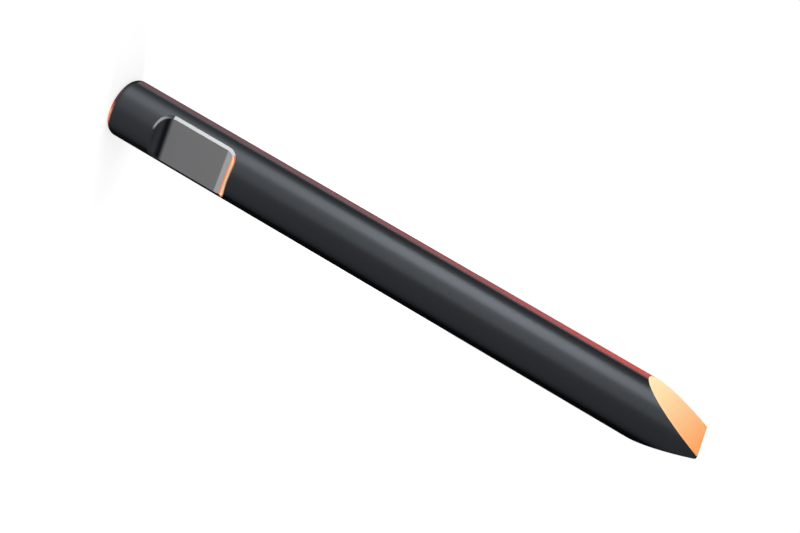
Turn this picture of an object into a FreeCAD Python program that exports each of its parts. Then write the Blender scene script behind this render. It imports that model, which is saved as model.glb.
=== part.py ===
import FreeCAD, Part
import math
import os

import Sketcher

os.makedirs("parts", exist_ok=True)

doc = FreeCAD.newDocument("breaker_chisel")

# The sizes of the tool, in millimetres and degrees. The bar diameter and the
# length set its proportions; every other size is a machined feature on the bar.
sheet = doc.addObject("Spreadsheet::Sheet", "Sizes")
sheet.set("A1", "bar diameter")
sheet.set("B1", "100")
sheet.setAlias("B1", "bar_diameter")
sheet.set("A2", "length from struck face to blade")
sheet.set("B2", "1058")
sheet.setAlias("B2", "tool_length")
sheet.set("A3", "rounding of the struck end")
sheet.set("B3", "13")
sheet.setAlias("B3", "struck_end_radius")
sheet.set("A4", "angle of each wedge face to the axis")
sheet.set("B4", "22.5")
sheet.setAlias("B4", "wedge_face_angle")
sheet.set("A5", "thickness left at the blade")
sheet.set("B5", "4.5")
sheet.setAlias("B5", "blade_thickness")
sheet.set("A6", "rounding of the blade's two corners")
sheet.set("B6", "3")
sheet.setAlias("B6", "blade_corner_radius")
sheet.set("A7", "struck face to middle of the retainer slot")
sheet.set("B7", "157.5")
sheet.setAlias("B7", "slot_position")
sheet.set("A8", "length of the slot's flat floor")
sheet.set("B8", "97")
sheet.setAlias("B8", "slot_floor_length")
sheet.set("A9", "depth of the slot at its middle")
sheet.set("B9", "22.5")
sheet.setAlias("B9", "slot_depth")
sheet.set("A10", "radius of the milled run-out at each end")
sheet.set("B10", "23")
sheet.setAlias("B10", "slot_runout_radius")
sheet.set("A11", "chamfer broken along the slot's rim")
sheet.set("B11", "3.2")
sheet.setAlias("B11", "slot_rim_chamfer")
doc.recompute()

body = doc.addObject("PartDesign::Body", "Chisel")
body.Label = "chisel"
body.Placement = FreeCAD.Placement(FreeCAD.Vector(0, 0, 0), FreeCAD.Rotation(0, 0, 0))


def origin_feature(role):
    for item in body.Origin.OriginFeatures:
        if item.Role == role:
            return item
    raise RuntimeError("no origin feature " + role)


def new_sketch(name, role):
    sketch = body.newObject("Sketcher::SketchObject", name)
    sketch.AttachmentSupport = [(origin_feature(role), "")]
    sketch.MapMode = "FlatFace"
    return sketch


def segment(sketch, x1, y1, x2, y2):
    start = FreeCAD.Vector(x1, y1, 0)
    end = FreeCAD.Vector(x2, y2, 0)
    return sketch.addGeometry(Part.LineSegment(start, end), False)


def arc(sketch, x, y, radius, first, last):
    circle = Part.Circle(FreeCAD.Vector(x, y, 0), FreeCAD.Vector(0, 0, 1), radius)
    turn = Part.ArcOfCircle(circle, math.radians(first), math.radians(last))
    return sketch.addGeometry(turn, False)


def tie(sketch, kind, *where):
    return sketch.addConstraint(Sketcher.Constraint(kind, *where))


def bind(sketch, kind, where, formula, name):
    value = sketch.evalExpression(formula)
    if kind == "Angle":
        value = math.radians(value)
    index = sketch.addConstraint(Sketcher.Constraint(kind, *where, value))
    sketch.renameConstraint(index, name)
    sketch.setExpression("Constraints." + name, formula)


# Where the sketches start from, read off the same sheet that then drives them.
radius = sheet.bar_diameter / 2
length = sheet.tool_length

# The turned bar: a half profile with the rounded struck end at the bottom,
# revolved about the tool's axis.
turned = sheet.struck_end_radius
profile = new_sketch("BarProfile", "XZ_Plane")
axis_side = segment(profile, 0, length, 0, 0)
struck_face = segment(profile, 0, 0, radius - turned, 0)
struck_round = arc(profile, radius - turned, turned, turned, 270, 360)
wall = segment(profile, radius, turned, radius, length)
front = segment(profile, radius, length, 0, length)
tie(profile, "Coincident", axis_side, 2, struck_face, 1)
tie(profile, "Tangent", struck_face, 2, struck_round, 1)
tie(profile, "Tangent", struck_round, 2, wall, 1)
tie(profile, "Coincident", wall, 2, front, 1)
tie(profile, "Coincident", front, 2, axis_side, 1)
tie(profile, "Coincident", axis_side, 2, -1, 1)
tie(profile, "Vertical", axis_side)
tie(profile, "Horizontal", struck_face)
tie(profile, "Vertical", wall)
tie(profile, "Horizontal", front)
bind(profile, "Radius", (struck_round,), "Sizes.struck_end_radius", "struck_rounding")
bind(profile, "DistanceX", (-1, 1, wall, 1), "Sizes.bar_diameter / 2", "bar_radius")
bind(profile, "DistanceY", (-1, 1, wall, 2), "Sizes.tool_length", "bar_length")
bar = body.newObject("PartDesign::Revolution", "Bar")
bar.Profile = profile
bar.ReferenceAxis = (profile, ["V_Axis"])
bar.Angle = 360
doc.recompute()
bar_volume = bar.Shape.Volume

# The retainer slot: one flat milled across the bar near the struck end, its floor
# running out to the surface at both ends along the cutter's radius. The profile
# stands outside the bar so that the cut always opens sideways.
depth = sheet.slot_depth
runout = sheet.slot_runout_radius
low = sheet.slot_position - sheet.slot_floor_length / 2
high = sheet.slot_position + sheet.slot_floor_length / 2
slot_profile = new_sketch("SlotProfile", "YZ_Plane")
floor = segment(slot_profile, depth - radius, low, depth - radius, high)
upper_runout = arc(slot_profile, depth - radius - runout, high, runout, 0, 90)
upper_wall = segment(
    slot_profile, depth - radius - runout, high + runout, -radius - runout, high + runout
)
outside = segment(slot_profile, -radius - runout, high + runout, -radius - runout, low - runout)
lower_wall = segment(
    slot_profile, -radius - runout, low - runout, depth - radius - runout, low - runout
)
lower_runout = arc(slot_profile, depth - radius - runout, low, runout, 270, 360)
tie(slot_profile, "Tangent", floor, 2, upper_runout, 1)
tie(slot_profile, "Tangent", upper_runout, 2, upper_wall, 1)
tie(slot_profile, "Coincident", upper_wall, 2, outside, 1)
tie(slot_profile, "Coincident", outside, 2, lower_wall, 1)
tie(slot_profile, "Tangent", lower_wall, 2, lower_runout, 1)
tie(slot_profile, "Tangent", lower_runout, 2, floor, 1)
tie(slot_profile, "Vertical", floor)
tie(slot_profile, "Vertical", outside)
tie(slot_profile, "Equal", upper_runout, lower_runout)
bind(slot_profile, "Radius", (upper_runout,), "Sizes.slot_runout_radius", "runout")
bind(
    slot_profile,
    "DistanceX",
    (floor, 1, -1, 1),
    "Sizes.bar_diameter / 2 - Sizes.slot_depth",
    "floor_from_axis",
)
bind(slot_profile, "DistanceY", (floor, 1, floor, 2), "Sizes.slot_floor_length", "floor_length")
bind(
    slot_profile,
    "DistanceY",
    (-1, 1, floor, 1),
    "Sizes.slot_position - Sizes.slot_floor_length / 2",
    "floor_start",
)
bind(slot_profile, "DistanceX", (upper_wall, 2, upper_wall, 1), "Sizes.slot_depth", "overrun")
slot = body.newObject("PartDesign::Pocket", "RetainerSlot")
slot.Profile = slot_profile
slot.Type = 1
slot.Midplane = True
doc.recompute()
if not slot.Shape.Volume < bar_volume:
    raise RuntimeError("the retainer slot removed nothing")


def on_bar_surface(point):
    return abs(math.hypot(point.x, point.y) - radius) < 0.01


def rim_edges(shape):
    names = []
    reach = sheet.slot_floor_length / 2 + sheet.slot_runout_radius + 1
    for number, edge in enumerate(shape.Edges, 1):
        first, last = edge.ParameterRange
        points = [edge.valueAt(first + (last - first) * part) for part in (0.1, 0.5, 0.9)]
        if not all(on_bar_surface(point) for point in points):
            continue
        if all(abs(point.z - sheet.slot_position) < reach and point.y < 0 for point in points):
            names.append("Edge%d" % number)
    return names


# The chamfer broken all the way around the slot's rim.
rim = body.newObject("PartDesign::Chamfer", "SlotRim")
rim.Base = (slot, rim_edges(slot.Shape))
rim.Size = sheet.slot_rim_chamfer
rim.setExpression("Size", "Sizes.slot_rim_chamfer")
doc.recompute()
if not rim.Shape.Volume < slot.Shape.Volume:
    raise RuntimeError("the slot's rim was not chamfered")

# The wedge: one flat milled at a slope to the axis, and the same cut again after
# half a turn of the bar. The blade between them runs square to the slot's floor.
half_blade = sheet.blade_thickness / 2
clear = sheet.bar_diameter
rise = (clear - half_blade) / math.tan(math.radians(sheet.wedge_face_angle))
wedge_profile = new_sketch("WedgeProfile", "XZ_Plane")
slope = segment(wedge_profile, half_blade, length, clear, length - rise)
beside = segment(wedge_profile, clear, length - rise, clear, length + radius)
above = segment(wedge_profile, clear, length + radius, half_blade, length + radius)
inside = segment(wedge_profile, half_blade, length + radius, half_blade, length)
tie(wedge_profile, "Coincident", slope, 2, beside, 1)
tie(wedge_profile, "Coincident", beside, 2, above, 1)
tie(wedge_profile, "Coincident", above, 2, inside, 1)
tie(wedge_profile, "Coincident", inside, 2, slope, 1)
tie(wedge_profile, "Vertical", beside)
tie(wedge_profile, "Horizontal", above)
tie(wedge_profile, "Vertical", inside)
bind(wedge_profile, "DistanceX", (-1, 1, slope, 1), "Sizes.blade_thickness / 2", "half_blade")
bind(wedge_profile, "DistanceY", (-1, 1, slope, 1), "Sizes.tool_length", "blade_height")
bind(wedge_profile, "DistanceX", (-1, 1, beside, 1), "Sizes.bar_diameter", "clear_of_bar")
bind(wedge_profile, "DistanceY", (inside, 2, inside, 1), "Sizes.bar_diameter / 2", "clear_above")
bind(
    wedge_profile,
    "Angle",
    (slope, 1, inside, 2),
    "180 - Sizes.wedge_face_angle",
    "face_slope",
)
wedge_face = body.newObject("PartDesign::Pocket", "WedgeFace")
wedge_face.Profile = wedge_profile
wedge_face.Type = 1
wedge_face.Midplane = True
doc.recompute()
if not wedge_face.Shape.Volume < rim.Shape.Volume:
    raise RuntimeError("the wedge face removed nothing")

other_face = body.newObject("PartDesign::PolarPattern", "WedgeFaces")
other_face.Originals = [wedge_face]
other_face.Axis = (origin_feature("Z_Axis"), [""])
other_face.Angle = 360
other_face.Occurrences = 2
body.Tip = other_face
doc.recompute()
if not other_face.Shape.Volume < wedge_face.Shape.Volume:
    raise RuntimeError("the second wedge face removed nothing")


def blade_corner_edges(shape):
    names = []
    for number, edge in enumerate(shape.Edges, 1):
        first, last = edge.ParameterRange
        points = [edge.valueAt(first + (last - first) * part) for part in (0.1, 0.5, 0.9)]
        at_blade = all(abs(point.z - length) < 0.01 for point in points)
        if at_blade and all(on_bar_surface(point) for point in points):
            names.append("Edge%d" % number)
    return names


# The blade's two corners, eased by grinding.
corners = body.newObject("PartDesign::Fillet", "BladeCorners")
corners.Base = (other_face, blade_corner_edges(other_face.Shape))
corners.Radius = sheet.blade_corner_radius
corners.setExpression("Radius", "Sizes.blade_corner_radius")
body.Tip = corners
doc.recompute()

for item in doc.Objects:
    if "Invalid" in item.State or "Error" in item.State:
        raise RuntimeError("%s did not compute: %s" % (item.Name, item.State))
if body.Shape.isNull() or not body.Shape.isValid() or len(body.Shape.Solids) != 1:
    raise RuntimeError("the chisel is not one valid solid")

body.Shape.exportStep("parts/chisel.step")
box = body.Shape.BoundBox
print("chisel", round(body.Shape.Volume / 1000, 1), "cm3", box)
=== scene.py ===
import math

import bpy
from mathutils import Matrix, Vector


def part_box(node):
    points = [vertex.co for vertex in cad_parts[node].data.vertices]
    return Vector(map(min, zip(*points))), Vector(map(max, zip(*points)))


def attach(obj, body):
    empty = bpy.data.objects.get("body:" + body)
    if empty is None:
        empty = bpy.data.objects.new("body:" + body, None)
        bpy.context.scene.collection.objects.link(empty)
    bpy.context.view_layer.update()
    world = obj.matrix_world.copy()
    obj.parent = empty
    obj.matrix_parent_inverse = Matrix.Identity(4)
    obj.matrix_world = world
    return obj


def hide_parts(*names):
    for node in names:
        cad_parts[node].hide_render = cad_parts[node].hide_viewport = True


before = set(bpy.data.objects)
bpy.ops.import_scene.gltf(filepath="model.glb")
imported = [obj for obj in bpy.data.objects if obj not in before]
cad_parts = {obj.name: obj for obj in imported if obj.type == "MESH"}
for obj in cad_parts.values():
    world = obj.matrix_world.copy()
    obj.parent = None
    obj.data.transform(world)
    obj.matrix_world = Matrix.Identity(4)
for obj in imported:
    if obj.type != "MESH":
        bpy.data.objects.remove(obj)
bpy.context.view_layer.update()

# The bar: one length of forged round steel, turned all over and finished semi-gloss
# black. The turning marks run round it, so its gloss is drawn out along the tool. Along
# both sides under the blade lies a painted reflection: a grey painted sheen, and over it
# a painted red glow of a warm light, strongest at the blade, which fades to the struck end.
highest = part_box("chisel")[1]
bar_radius = highest.x
tool_length = highest.z
coat_black = (0.0215, 0.0235, 0.0260, 1)
# The lighter black is a painted highlight: the coat fades into it towards the struck end.
coat_painted_highlight_grey = (0.0310, 0.0340, 0.0374, 1)
greyer_below = 0.45
coat_gloss = 0.88
coat_edge = (0.1, 0.1, 0.1, 1)
coat_roughness = 0.41
rougher_by = 0.08
turned_grain = 0.72
grain_along = 0.25
# The side bands below are painted reflection: a grey sheen and a red glow of a warm light.
grey_from = (-0.0095, -0.002)
red_from = (-0.008, 0.004)
side_reflection_ends = (0.024, 0.042)
side_reflected_grey = (0.042, 0.042, 0.046, 1)
side_reflected_dull_red = (0.072, 0.042, 0.046, 1)
side_reflected_hot_red = (0.345, 0.045, 0.040, 1)
warm_reflection_gathers = 2.5

corners = []
faces = []
finishes = {}


def corner(point):
    """Keeps one corner of the tool's surface and gives its number."""
    corners.append(point)
    return len(corners) - 1


def face(ring, finish, square_to):
    """Keeps one face from its ring of corners. square_to gives the way it faces at a corner."""
    ring = [number for place, number in enumerate(ring) if number != ring[place - 1]]
    if len(ring) < 3:
        return
    facing = [square_to(number) for number in ring]
    turn = Vector((0, 0, 0))
    for place, number in enumerate(ring):
        turn += corners[ring[place - 1]].cross(corners[number])
    if turn.dot(sum(facing, Vector((0, 0, 0)))) < 0:
        ring.reverse()
        facing.reverse()
    faces.append((ring, finish, facing))


def on_the_bar(angle, radius, height):
    """A point at that angle, counted from the slot's side (-Y) towards +X."""
    return Vector((radius * math.sin(angle), -radius * math.cos(angle), height))


def out_of_the_bar(number):
    """Square to the wall, straight out from the tool's middle line."""
    return Vector((corners[number].x, corners[number].y, 0)).normalized()


def new_finish(name):
    """A named finish on the tool, with its node tree and its shader."""
    finish = bpy.data.materials.new(name)
    finish.use_nodes = True
    finishes[name] = finish
    return finish.node_tree, finish.node_tree.nodes["Principled BSDF"]


def place_on_tool(tree):
    """The point's own coordinates on the tool, in metres: across, to the back, along."""
    spot = tree.nodes.new("ShaderNodeTexCoord")
    split = tree.nodes.new("ShaderNodeSeparateXYZ")
    tree.links.new(spot.outputs["Object"], split.inputs["Vector"])
    return split.outputs


def rising(tree, source, low, high):
    """0 where source is below low, 1 above high, and a soft rise between them."""
    rise = tree.nodes.new("ShaderNodeMapRange")
    rise.interpolation_type = "SMOOTHSTEP"
    rise.inputs["From Min"].default_value = low
    rise.inputs["From Max"].default_value = high
    tree.links.new(source, rise.inputs["Value"])
    return rise.outputs["Result"]


def falling(tree, source, low, high):
    """1 where source is below low, 0 above high, and a soft fall between them."""
    fall = tree.nodes.new("ShaderNodeMapRange")
    fall.interpolation_type = "SMOOTHSTEP"
    fall.inputs["From Min"].default_value = low
    fall.inputs["From Max"].default_value = high
    fall.inputs["To Min"].default_value = 1
    fall.inputs["To Max"].default_value = 0
    tree.links.new(source, fall.inputs["Value"])
    return fall.outputs["Result"]


def reckon(tree, kind, first, second):
    """One sum between two values of the tree, or between a value and a number."""
    sum_node = tree.nodes.new("ShaderNodeMath")
    sum_node.operation = kind
    tree.links.new(first, sum_node.inputs[0])
    if isinstance(second, (int, float)):
        sum_node.inputs[1].default_value = second
    else:
        tree.links.new(second, sum_node.inputs[1])
    return sum_node.outputs["Value"]


def blended(tree, share, under, over):
    """The colour under, covered by the colour over as far as share says."""
    blend = tree.nodes.new("ShaderNodeMix")
    blend.data_type = "RGBA"
    tree.links.new(share, blend.inputs["Factor"])
    # The node also has sockets for numbers and vectors, so its colours go by place.
    for socket, colour in ((blend.inputs[6], under), (blend.inputs[7], over)):
        if isinstance(colour, tuple):
            socket.default_value = colour
        else:
            tree.links.new(colour, socket)
    return blend.outputs[2]


def black_coat(name):
    """The tool's black: gloss of a thin dark skin, with no bright rim at its edges, and a painted
    highlight that lightens it towards the struck end.
    """
    tree, shader = new_finish(name)
    struck_highlight_share = falling(tree, place_on_tool(tree)["Z"], 0.0, greyer_below)
    coat = blended(tree, struck_highlight_share, coat_black, coat_painted_highlight_grey)
    tree.links.new(coat, shader.inputs["Base Color"])
    rougher = reckon(tree, "MULTIPLY", struck_highlight_share, rougher_by)
    tree.links.new(reckon(tree, "ADD", rougher, coat_roughness), shader.inputs["Roughness"])
    shader.inputs["Metallic"].default_value = coat_gloss
    shader.inputs["Specular IOR Level"].default_value = 0.0
    shader.inputs["Specular Tint"].default_value = coat_edge
    shader.inputs["Anisotropic"].default_value = turned_grain
    shader.inputs["Anisotropic Rotation"].default_value = grain_along
    return tree, shader, coat


def dull_where(tree, shader, share):
    """Takes the coat's gloss away as far as share says."""
    minus_coated = reckon(tree, "SUBTRACT", share, 1.0)
    gloss_left = reckon(tree, "MULTIPLY", minus_coated, -coat_gloss)
    tree.links.new(gloss_left, shader.inputs["Metallic"])


# The bar's black, painted over along both sides with a grey sheen and a red glow: a painted
# reflection.
tree, shader, coat = black_coat("turned_black")
across, back, along = place_on_tool(tree)
side_ends = falling(tree, back, *side_reflection_ends)
grey_side = reckon(tree, "MULTIPLY", rising(tree, back, *grey_from), side_ends)
red_side = reckon(tree, "MULTIPLY", rising(tree, back, *red_from), side_ends)
height = reckon(tree, "DIVIDE", along, tool_length)
warm_reflection_share = reckon(tree, "POWER", height, warm_reflection_gathers)
red = blended(tree, warm_reflection_share, side_reflected_dull_red, side_reflected_hot_red)
side_reflection = blended(tree, red_side, side_reflected_grey, red)
tree.links.new(blended(tree, grey_side, coat, side_reflection), shader.inputs["Base Color"])
dull_where(tree, shader, grey_side)

# The struck end: the piston hits the flat face, and the lathe has rounded its edge.
# The rounding carries a painted reflection of a warm light on the slot's side: orange,
# which goes through red and dark red before it fades into the black.
struck_rounding = 0.013
rounding_steps = 12
reflection_middle = math.radians(4)
red_up_to = (0.004, 0.0085)
orange_up_to = (0.0055, 0.0098)
red_round = (0.20, 0.90)
ember_round = (0.84, 0.95)
orange_round = (0.94, 1.0)
reflected_red = (0.12, 0.035, 0.040, 1)
reflected_ember = (0.50, 0.11, 0.08, 1)
reflected_orange = (0.87, 0.39, 0.24, 1)


def out_from_middle(tree):
    """The point's distance from the tool's middle line, in metres."""
    across, back, along = place_on_tool(tree)
    squared = reckon(tree, "ADD", reckon(tree, "POWER", across, 2), reckon(tree, "POWER", back, 2))
    return reckon(tree, "POWER", squared, 0.5)


# The orange, ember and red patches on the rounding are a painted reflection of a warm light.
tree, shader, coat = black_coat("struck_end")
across, back, along = place_on_tool(tree)
to_side = reckon(tree, "MULTIPLY", across, math.sin(reflection_middle))
to_front = reckon(tree, "MULTIPLY", back, -math.cos(reflection_middle))
towards_reflection = reckon(tree, "ADD", to_side, to_front)
towards_reflection = reckon(tree, "DIVIDE", towards_reflection, out_from_middle(tree))
red_low = falling(tree, along, *red_up_to)
orange_low = falling(tree, along, *orange_up_to)
red_patch = reckon(tree, "MULTIPLY", rising(tree, towards_reflection, *red_round), red_low)
ember_patch = reckon(tree, "MULTIPLY", rising(tree, towards_reflection, *ember_round), orange_low)
orange_patch = reckon(tree, "MULTIPLY", rising(tree, towards_reflection, *orange_round), orange_low)
colour = blended(tree, red_patch, coat, reflected_red)
colour = blended(tree, ember_patch, colour, reflected_ember)
colour = blended(tree, orange_patch, colour, reflected_orange)
tree.links.new(colour, shader.inputs["Base Color"])
dull_where(tree, shader, reckon(tree, "MAXIMUM", red_patch, ember_patch))


def out_of_the_rounding(number):
    """Square to the rounding, out from the middle of its curve."""
    inner = out_of_the_bar(number) * (bar_radius - struck_rounding)
    return (corners[number] - inner - Vector((0, 0, struck_rounding))).normalized()


def foot_of_wall(angle):
    """The corners down the rounding at that angle, from the wall to the struck face."""
    row = []
    for step in range(rounding_steps + 1):
        swing = math.pi / 2 * step / rounding_steps
        reach = bar_radius - struck_rounding * (1 - math.cos(swing))
        row.append(corner(on_the_bar(angle, reach, struck_rounding * (1 - math.sin(swing)))))
    return row


# The blade: two flats ground on opposite sides of the bar, down to a narrow face. They
# are bare, and carry a painted reflection of a warm light, from pale straw to orange at
# the edge. Each ends on the wall in a long arch. The blade's two corners are eased.
blade_thickness = 0.0045
flat_angle = math.radians(22.5)
flat_slope = math.tan(flat_angle)
corner_ease = 0.003
ease_steps = 5
near_enough = 1e-7
nearer_still = 1e-9
reflected_straw = (0.50, 0.422, 0.242, 1)
reflected_hot_orange = (0.50, 0.186, 0.047, 1)
reflection_lean = -0.2
ground_roughness = 0.5
ground_shine = 0.2
flat_begins = tool_length - (bar_radius - blade_thickness / 2) / flat_slope

# The blade's faces: bare ground steel, with the straw to orange of a painted reflection of a warm
# light.
tree, shader = new_finish("ground_flat")
across, back, along = place_on_tool(tree)
lean = reckon(tree, "MULTIPLY", back, reflection_lean)
up_flat = reckon(tree, "SUBTRACT", reckon(tree, "ADD", along, lean), flat_begins)
warm_reflection_share = reckon(tree, "DIVIDE", up_flat, tool_length - flat_begins)
colour = blended(tree, warm_reflection_share, reflected_straw, reflected_hot_orange)
tree.links.new(colour, shader.inputs["Base Color"])
shader.inputs["Roughness"].default_value = ground_roughness
shader.inputs["Specular IOR Level"].default_value = ground_shine


def flat_height(sideways):
    """How high the flat stands at that distance from the blade's middle plane."""
    return tool_length - max(abs(sideways) - blade_thickness / 2, 0.0) / flat_slope


def ease_point(angle, swing):
    """A point on the eased corner: the wall at no swing, the blade's end at a quarter turn."""
    reach = bar_radius - corner_ease * (1 - math.cos(swing))
    return on_the_bar(angle, reach, tool_length - corner_ease * (1 - math.sin(swing)))


def out_of_the_ease(number):
    """Square to the eased corner, out from the middle of its curve."""
    inner = out_of_the_bar(number) * (bar_radius - corner_ease)
    return (corners[number] - inner - Vector((0, 0, tool_length - corner_ease))).normalized()


def top_of_wall(angle):
    """The corners that end the wall at that angle: one on a flat, or a row up the ease."""
    wall_top = flat_height(bar_radius * math.sin(angle))
    if wall_top < tool_length - corner_ease:
        return [corner(on_the_bar(angle, bar_radius, wall_top))] * (ease_steps + 1)
    last, cut_off = math.pi / 2, 0.0
    point = ease_point(angle, last)
    if point.z > flat_height(point.x) + nearer_still:
        while last - cut_off > near_enough:
            swing = (last + cut_off) / 2
            point = ease_point(angle, swing)
            if point.z > flat_height(point.x):
                last = swing
            else:
                cut_off = swing
    return [corner(ease_point(angle, last * step / ease_steps)) for step in range(ease_steps + 1)]


ease_begins = math.asin((blade_thickness / 2 + corner_ease * flat_slope) / bar_radius)
ease_ends = math.asin(blade_thickness / 2 / (bar_radius - corner_ease))
ease_angles = [0, ease_ends / 2, ease_ends, (ease_begins + ease_ends) / 2, ease_begins]
both_ways = [angle * way for angle in ease_angles for way in (1, -1)][1:]

# The retainer slot: a flat milled across one side, where the breaker's retainer pin lies.
# The cutter runs out at both ends along its own radius. The flat is bare. The run-out
# towards the blade is painted brighter, a painted highlight, with a painted reflection of a
# warm light, brown then golden, at its edge. The other run-out is painted black next to the
# flat, a painted shade, and grey further out.
slot_middle = 0.1575
flat_half = 0.0485
slot_depth = 0.0225
runout_radius = 0.023
flat_offset = bar_radius - slot_depth
rim_angle = math.acos(flat_offset / bar_radius)
near_runout = slot_middle - flat_half
far_runout = slot_middle + flat_half
# Near run-out: a painted shade band next to the flat. Far run-out: a painted highlight, then a
# painted reflection of a warm light, brown to gold.
runout_painted_shade = (0.003, 0.0033, 0.005, 1)
runout_grey = (0.030, 0.033, 0.038, 1)
milled_grey = (0.142, 0.143, 0.147, 1)
runout_highlight = (0.31, 0.31, 0.33, 1)
cut_reflected_brown = (0.85, 0.26, 0.13, 1)
cut_reflected_gold = (1.0, 0.72, 0.42, 1)
grey_up_to = (near_runout - 0.0185, near_runout - 0.0125)
bare_from = (near_runout - 0.0105, near_runout - 0.0025)
highlight_from = (far_runout + 0.0005, far_runout + 0.0035)
brown_from = (far_runout + 0.0105, far_runout + 0.0135)
gold_from = (far_runout + 0.0135, far_runout + 0.0175)
milled_roughness = 0.4
milled_shine = 0.05

tree, shader = new_finish("milled_cut")
along = place_on_tool(tree)["Z"]
colour = blended(tree, falling(tree, along, *grey_up_to), runout_painted_shade, runout_grey)
colour = blended(tree, rising(tree, along, *bare_from), colour, milled_grey)
colour = blended(tree, rising(tree, along, *highlight_from), colour, runout_highlight)
colour = blended(tree, rising(tree, along, *brown_from), colour, cut_reflected_brown)
colour = blended(tree, rising(tree, along, *gold_from), colour, cut_reflected_gold)
tree.links.new(colour, shader.inputs["Base Color"])
shader.inputs["Roughness"].default_value = milled_roughness
shader.inputs["Specular IOR Level"].default_value = milled_shine


def out_of_the_cut(number):
    """Square to the cut: straight out of the flat, or to the run-out's own centre."""
    point = corners[number]
    end = math.copysign(1, point.z - slot_middle)
    if abs(point.z - slot_middle) < flat_half + near_enough:
        return Vector((0, -1, 0))
    centre = Vector((point.x, -flat_offset - runout_radius, slot_middle + end * flat_half))
    return (centre - point).normalized()


def rim_at(along_rim):
    """The sharp rim round one end, from one corner of the flat (0) to the other (2)."""
    angle = rim_angle * math.cos(math.pi / 2 * along_rim)
    climb = max(bar_radius * math.cos(angle) - flat_offset, 0.0)
    return angle, math.acos(1 - climb / runout_radius)


def rim_on_wall(along_rim):
    """The rim with the wall laid flat: distance round the bar, distance up the tool."""
    angle, turn = rim_at(along_rim)
    return Vector((bar_radius * angle, flat_half + runout_radius * math.sin(turn)))


def rim_on_cut(along_rim):
    """The rim with the cut laid flat: distance across the slot, distance along it."""
    angle, turn = rim_at(along_rim)
    return Vector((bar_radius * math.sin(angle), flat_half + runout_radius * turn))


# The slot's rim is broken by a chamfer all the way round. Along one long side and the
# corner after it it is painted bright, a painted highlight, and across the end towards the
# blade it carries a painted reflection of a warm light, golden, turning brown outside. The
# rest keeps the black coat, with a painted grey highlight for a stretch at the struck end
# and a painted bright spot at the corner next to the bright side.
rim_chamfer = 0.0032
whole_rim = 2.0
rim_nudge = 0.0005
facing_nudge = 0.001
golden_from = 0.36
bright_from = 1.70
outer_half = (0.0481, 0.0487)
rim_roughness = 0.4
# The bright and grey rim colours are painted highlights; the gold and brown are a painted
# reflection of a warm light.
rim_highlight = (0.345, 0.352, 0.362, 1)
rim_reflected_gold = (1.0, 0.74, 0.46, 1)
rim_reflected_brown = (0.62, 0.17, 0.07, 1)
rim_highlight_grey = (0.21, 0.215, 0.226, 1)
highlight_corner_above = (near_runout - 0.006, near_runout - 0.0048)
highlight_corner_left = (-0.032, -0.028)
grey_highlight_starts = (-0.0405, -0.033)
grey_highlight_ends = (-0.020, -0.012)
grey_highlight_below = (near_runout - 0.01, near_runout - 0.008)
grey_highlight_outside = (0.0476, 0.0482)

tree, shader = new_finish("bright_rim")
shader.inputs["Base Color"].default_value = rim_highlight
shader.inputs["Roughness"].default_value = rim_roughness

tree, shader = new_finish("golden_rim")
outside = rising(tree, out_from_middle(tree), *outer_half)
tree.links.new(blended(tree, outside, rim_reflected_gold, rim_reflected_brown), shader.inputs["Base Color"])
shader.inputs["Metallic"].default_value = 1
shader.inputs["Roughness"].default_value = rim_roughness

tree, shader, coat = black_coat("black_rim")
across, back, along = place_on_tool(tree)
# A painted bright spot at the corner by the bright side, and a painted grey highlight along part
# of the struck end's chamfer.
corner_highlight = rising(tree, along, *highlight_corner_above)
corner_highlight = reckon(tree, "MULTIPLY", corner_highlight, falling(tree, across, *highlight_corner_left))
rim_grey_highlight = rising(tree, across, *grey_highlight_starts)
rim_grey_highlight = reckon(tree, "MULTIPLY", rim_grey_highlight, falling(tree, across, *grey_highlight_ends))
rim_grey_highlight = reckon(tree, "MULTIPLY", rim_grey_highlight, falling(tree, along, *grey_highlight_below))
rim_grey_highlight = reckon(tree, "MULTIPLY", rim_grey_highlight, rising(tree, out_from_middle(tree), *grey_highlight_outside))
colour = blended(tree, rim_grey_highlight, coat, rim_highlight_grey)
colour = blended(tree, corner_highlight, colour, rim_highlight)
tree.links.new(colour, shader.inputs["Base Color"])
dull_where(tree, shader, reckon(tree, "MAXIMUM", rim_grey_highlight, corner_highlight))


def beside(rim, along_rim, distance):
    """The rim's point moved square to the rim by that distance, away from the slot."""
    before = max(along_rim - rim_nudge, 0.0)
    after = min(along_rim + rim_nudge, whole_rim)
    heading = rim(after) - rim(before)
    heading.normalize()
    return rim(along_rim) + distance * Vector((heading.y, -heading.x))


def chamfer_on_wall(along_rim, end):
    """The chamfer's outer edge. end is +1 towards the blade and -1 to the struck end."""
    spot = beside(rim_on_wall, along_rim, rim_chamfer)
    return on_the_bar(spot.x / bar_radius, bar_radius, slot_middle + end * spot.y)


def chamfer_on_cut(along_rim, end):
    """The chamfer's inner edge, on the flat or on the run-out."""
    spot = beside(rim_on_cut, along_rim, -rim_chamfer)
    turn = (spot.y - flat_half) / runout_radius
    depth = flat_offset + runout_radius * (1 - math.cos(turn))
    height = slot_middle + end * (flat_half + runout_radius * math.sin(turn))
    return Vector((spot.x, -depth, height))


def out_of_the_chamfer(along_rim, end):
    """Square to the chamfer, out of the tool."""
    before = max(along_rim - facing_nudge, 0.0)
    after = min(along_rim + facing_nudge, whole_rim)
    heading = chamfer_on_wall(after, end) - chamfer_on_wall(before, end)
    heading += chamfer_on_cut(after, end) - chamfer_on_cut(before, end)
    outward = chamfer_on_wall(along_rim, end) - chamfer_on_cut(along_rim, end)
    facing = heading.cross(outward).normalized()
    return facing if facing.y < 0 else -facing


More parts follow.
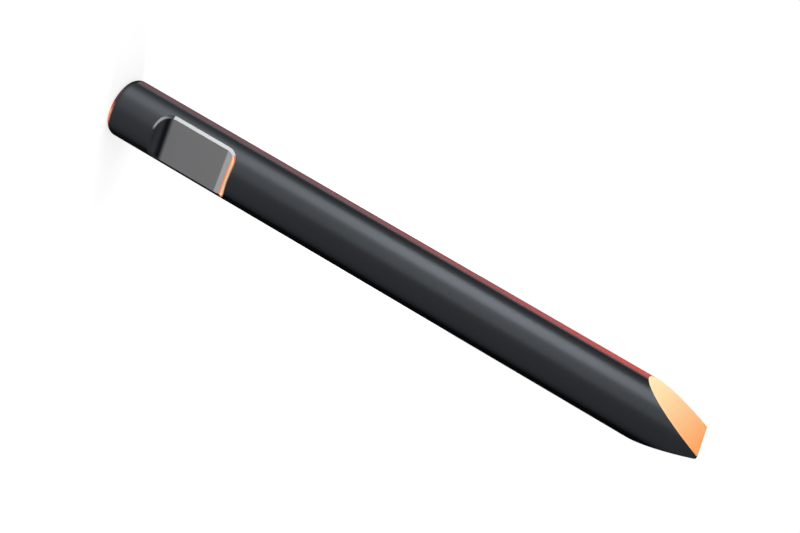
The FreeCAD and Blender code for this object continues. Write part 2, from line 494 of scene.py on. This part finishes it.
def place_on_rim(angle):
    """How far along the rim the chamfer's outer edge crosses that angle on the bar."""
    low, high = 0.0, whole_rim
    while high - low > nearer_still:
        middle = (low + high) / 2
        if beside(rim_on_wall, middle, rim_chamfer).x / bar_radius > angle:
            low = middle
        else:
            high = middle
    return (low + high) / 2


# The wall is laid out in upright strips. Over the slot their edges stand on the rim's
# own points, so that wall, chamfer and cut share their corners. Elsewhere they stand
# every three degrees, and closer together at the eased corners of the blade.
wall_step = math.radians(3)
rim_steps = 48
least_rim_gap = 0.008
least_wall_gap = 0.01


def clear_of(places, others, gap):
    """Those of the places that lie further than gap from all the others."""
    return [spot for spot in places if min(abs(spot - other) for other in others) > gap]


ease_places = [place_on_rim(angle) for angle in both_ways]
rim_places = [whole_rim * step / rim_steps for step in range(rim_steps + 1)]
rim_places = clear_of(rim_places, ease_places, least_rim_gap)
slot_strips = []
for spot in sorted(rim_places + ease_places):
    angle = beside(rim_on_wall, spot, rim_chamfer).x / bar_radius
    strip = {"angle": angle, "spot": spot, "foot": foot_of_wall(angle), "top": top_of_wall(angle)}
    for end in (1, -1):
        strip["outer", end] = corner(chamfer_on_wall(spot, end))
        strip["inner", end] = corner(chamfer_on_cut(spot, end))
        strip["facing", end] = out_of_the_chamfer(spot, end)
    slot_strips.append(strip)

slot_edge = rim_angle + rim_chamfer / bar_radius
span = 2 * math.pi - 2 * slot_edge
back_count = math.ceil(span / wall_step)
back_ease = [angle - math.pi for angle in both_ways]
back_angles = [-slot_edge - span * step / back_count for step in range(1, back_count)]
back_angles = clear_of(back_angles, back_ease, least_wall_gap)
back_strips = []
for angle in sorted(back_angles + back_ease, reverse=True):
    back_strips.append({"angle": angle, "foot": foot_of_wall(angle), "top": top_of_wall(angle)})
strips = slot_strips + back_strips

for place, strip in enumerate(strips):
    other = strips[place - 1]
    for step in range(rounding_steps):
        ring = other["foot"][step:step + 2] + strip["foot"][step:step + 2][::-1]
        face(ring, "struck_end", out_of_the_rounding)
    for step in range(ease_steps):
        ring = other["top"][step:step + 2] + strip["top"][step:step + 2][::-1]
        face(ring, "turned_black", out_of_the_ease)
    if 0 < place < len(slot_strips):
        ring = [other["foot"][0], strip["foot"][0], strip["outer", -1], other["outer", -1]]
        face(ring, "turned_black", out_of_the_bar)
        ring = [other["top"][0], strip["top"][0], strip["outer", 1], other["outer", 1]]
        face(ring, "turned_black", out_of_the_bar)
        continue
    ring = [other["foot"][0], strip["foot"][0]]
    if place == 0:
        ring += [strip["outer", -1], strip["outer", 1]]
    ring += [strip["top"][0], other["top"][0]]
    if place == len(slot_strips):
        ring += [other["outer", 1], other["outer", -1]]
    face(ring, "turned_black", out_of_the_bar)
face([strip["foot"][-1] for strip in strips], "struck_end", lambda number: Vector((0, 0, -1)))

for way in (1, -1):
    ring = []
    for strip in sorted(strips, key=lambda strip: strip["angle"] * way % (2 * math.pi)):
        if corners[strip["top"][-1]].x * way > blade_thickness / 2 - near_enough:
            ring.append(strip["top"][-1])
    facing = Vector((way * math.cos(flat_angle), 0, math.sin(flat_angle)))
    face(ring, "ground_flat", lambda number: facing)
ring = []
for strip in sorted(strips, key=lambda strip: (strip["angle"] + math.pi / 2) % (2 * math.pi)):
    if corners[strip["top"][-1]].z > tool_length - near_enough:
        ring.append(strip["top"][-1])
face(ring, "ground_flat", lambda number: Vector((0, 0, 1)))

for end in (1, -1):
    for place in range(1, len(slot_strips)):
        other, strip = slot_strips[place - 1], slot_strips[place]
        facing = {}
        for edge in (other, strip):
            facing[edge["outer", end]] = facing[edge["inner", end]] = edge["facing", end]
        # Across the end towards the blade the chamfer takes the painted warm reflection, then the
        # painted highlight.
        finish = "black_rim"
        if end == 1 and other["spot"] > golden_from:
            finish = "golden_rim" if strip["spot"] < bright_from else "bright_rim"
        ring = [other["outer", end], strip["outer", end], strip["inner", end], other["inner", end]]
        face(ring, finish, lambda number: facing[number])
    for place in range(1, (len(slot_strips) + 1) // 2):
        near, far = slot_strips[place - 1:place + 1], slot_strips[-place - 1:][:2]
        ring = [near[0]["inner", end], near[1]["inner", end]]
        ring += [far[0]["inner", end], far[1]["inner", end]]
        face(ring, "milled_cut", out_of_the_cut)
# One long side keeps the black coat, the other takes the painted highlight.
for strip, finish in ((slot_strips[0], "black_rim"), (slot_strips[-1], "bright_rim")):
    ring = [strip["outer", 1], strip["inner", 1], strip["inner", -1], strip["outer", -1]]
    face(ring, finish, lambda number: strip["facing", 1])
ring = [slot_strips[0]["inner", 1], slot_strips[0]["inner", -1]]
ring += [slot_strips[-1]["inner", -1], slot_strips[-1]["inner", 1]]
face(ring, "milled_cut", lambda number: Vector((0, -1, 0)))

# The whole tool is the one skin that these faces make, each with its own finish. The
# real one is a single forging of hard steel with nothing fixed to it, so it is one piece.
skin = bpy.data.meshes.new("breaker_chisel")
skin.from_pydata(corners, [], [ring for ring, finish, facing in faces])
for finish in finishes.values():
    skin.materials.append(finish)
order = list(finishes)
for polygon, (ring, finish, facing) in zip(skin.polygons, faces):
    polygon.material_index = order.index(finish)
    polygon.use_smooth = True
skin.normals_split_custom_set([way for ring, finish, facing in faces for way in facing])
tool = bpy.data.objects.new("breaker_chisel", skin)
bpy.context.collection.objects.link(tool)
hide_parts("chisel")
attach(tool, "root")

# The studio floor: a plain white sheet that the tool stands on. It is as white as the
# backdrop far off, and keeps a soft shadow round the tool.
floor_reach = 6.0
floor_sides = 120
floor_white = (0.9, 0.9, 0.9, 1)
floor_roughness = 0.9
floor_glow = (1, 1, 1, 1)
shadow_reach = (0.4, 2.5)
glow_near = 0.58


def seen_as_white(tree):
    """1 on the rays that see the white itself: straight, in gloss or through glass."""
    ray = tree.nodes.new("ShaderNodeLightPath").outputs
    seen = reckon(tree, "MAXIMUM", ray["Is Camera Ray"], ray["Is Glossy Ray"])
    return reckon(tree, "MAXIMUM", seen, ray["Is Transmission Ray"])


sheet = bpy.data.meshes.new("studio_floor")
side_angle = math.radians(360 / floor_sides)
edge = [on_the_bar(side_angle * side, floor_reach, 0) for side in range(floor_sides)]
sheet.from_pydata(edge, [], [list(range(floor_sides))[::-1]])
floor = bpy.data.objects.new("studio_floor", sheet)
bpy.context.collection.objects.link(floor)
floor_finish = bpy.data.materials.new("floor_sheet")
floor_finish.use_nodes = True
sheet.materials.append(floor_finish)
tree = floor_finish.node_tree
shader = tree.nodes["Principled BSDF"]
shader.inputs["Base Color"].default_value = floor_white
shader.inputs["Roughness"].default_value = floor_roughness
shader.inputs["Specular IOR Level"].default_value = 0.0
shader.inputs["Emission Color"].default_value = floor_glow
spot = tree.nodes.new("ShaderNodeTexCoord")
length = tree.nodes.new("ShaderNodeVectorMath")
length.operation = "LENGTH"
tree.links.new(spot.outputs["Object"], length.inputs[0])
far_off = rising(tree, length.outputs["Value"], *shadow_reach)
glow = reckon(tree, "MULTIPLY", far_off, 1 - glow_near)
glow = reckon(tree, "ADD", glow, glow_near)
glow = reckon(tree, "MULTIPLY", glow, seen_as_white(tree))
tree.links.new(glow, shader.inputs["Emission Strength"])

# The backdrop is plain white where it is seen, straight, in gloss or through glass, and
# gives only a low even light of its own.
backdrop_white = (1, 1, 1, 1)
backdrop_light = 0.25
world = bpy.data.worlds.new("studio_backdrop")
bpy.context.scene.world = world
world.use_nodes = True
tree = world.node_tree
strength = reckon(tree, "MAXIMUM", seen_as_white(tree), backdrop_light)
tree.links.new(strength, tree.nodes["Background"].inputs["Strength"])
tree.nodes["Background"].inputs["Color"].default_value = backdrop_white

# Three soft lamps on stands, low and level with the tool: the key on the left gives the
# long streak of gloss, a wide fill lights the near side and a third the far side.
camera_side = math.radians(27.7)


def soft_lamp(name, bearing, distance, height, width, tall, light):
    """bearing is counted from the camera's side, and light is what falls on the tool."""
    lamp = bpy.data.lights.new(name, "AREA")
    lamp.shape = "RECTANGLE"
    lamp.size = width
    lamp.size_y = tall
    lamp.energy = light * math.pi * distance ** 2
    turned = math.radians(bearing) + camera_side
    stand = Vector((-distance * math.sin(turned), -distance * math.cos(turned), height))
    aim = (Vector((0, 0, tool_length / 2)) - stand).to_track_quat("-Z", "Y")
    stood = bpy.data.objects.new(name, lamp)
    stood.matrix_world = Matrix.Translation(stand) @ aim.to_matrix().to_4x4()
    bpy.context.collection.objects.link(stood)


soft_lamp("key_lamp", bearing=54, distance=3.6, height=0.32, width=2.5, tall=0.62, light=5.2)
soft_lamp("fill_lamp", bearing=12, distance=2.6, height=0.38, width=2.4, tall=0.7, light=1.9)
soft_lamp("far_lamp", bearing=-135, distance=3.0, height=0.7, width=0.9, tall=1.2, light=1.8)

# The camera stands to the left of the slot and looks slightly down. It is rolled, so
# that the upright tool lies across the picture with its blade at the lower right.
camera_roll = math.radians(120.294)
camera_stand = Vector((-0.89467, -1.70410, 0.85334))
camera_aim = Vector((0, 0, 0.52975))
camera_lens = 56.25
lens = bpy.data.cameras.new("camera")
lens.lens = camera_lens
camera = bpy.data.objects.new("camera", lens)
bpy.context.collection.objects.link(camera)
look = (camera_aim - camera_stand).to_track_quat("-Z", "Y").to_matrix().to_4x4()
roll = Matrix.Rotation(camera_roll, 4, "Z")
camera.matrix_world = Matrix.Translation(camera_stand) @ look @ roll
bpy.context.scene.camera = camera
bpy.context.scene.view_settings.view_transform = "Standard"
